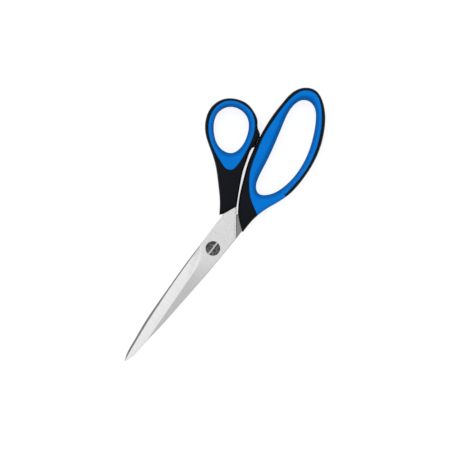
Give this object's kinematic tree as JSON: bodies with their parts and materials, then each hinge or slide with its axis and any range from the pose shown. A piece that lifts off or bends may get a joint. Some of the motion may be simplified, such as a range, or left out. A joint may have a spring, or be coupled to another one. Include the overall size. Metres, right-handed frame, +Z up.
{
  "type": "office scissors",
  "caption": "Office scissors with ground steel blades, a slotted pivot screw and black offset handles with blue soft-grip finger bows.",
  "frame": {"origin": "centre of the closed scissors' outline, on the surface they lie on", "axes": "+Z up out of the front face with the screw head, +Y from the blade tips towards the handles, +X from the thumb bow towards the finger bow"},
  "size_m": [0.0738, 0.21, 0.0115],
  "materials": {
    "blade_steel": "fine cross-ground",
    "screw_steel": "dark, lightly pitted",
    "washer_plastic": "natural nylon",
    "black_plastic": "satin, moulded",
    "blue_rubber": "matte, moulded soft grip"
  },
  "bodies": {
    "finger_half": {"rear_blade": "blade_steel", "finger_handle": "black_plastic", "finger_grip": "blue_rubber", "pivot_nut": "screw_steel", "pivot_washer": "washer_plastic"},
    "thumb_half": {"front_blade": "blade_steel", "thumb_handle": "black_plastic", "thumb_grip": "blue_rubber"},
    "tension_screw": {"pivot_screw": "screw_steel"}
  },
  "joints": [
    {"name": "blade_pivot", "type": "hinge", "parent": "finger_half", "child": "thumb_half", "pos_m": [0.01905, -0.014, 0.00575], "axis": [0, 0, 1], "range_deg": [0, 130]},
    {"name": "tension_screw_turn", "type": "hinge", "parent": "finger_half", "child": "tension_screw", "pos_m": [0.01905, -0.014, 0.00575], "axis": [0, 0, 1], "range_deg": [-30, 90]}
  ]
}
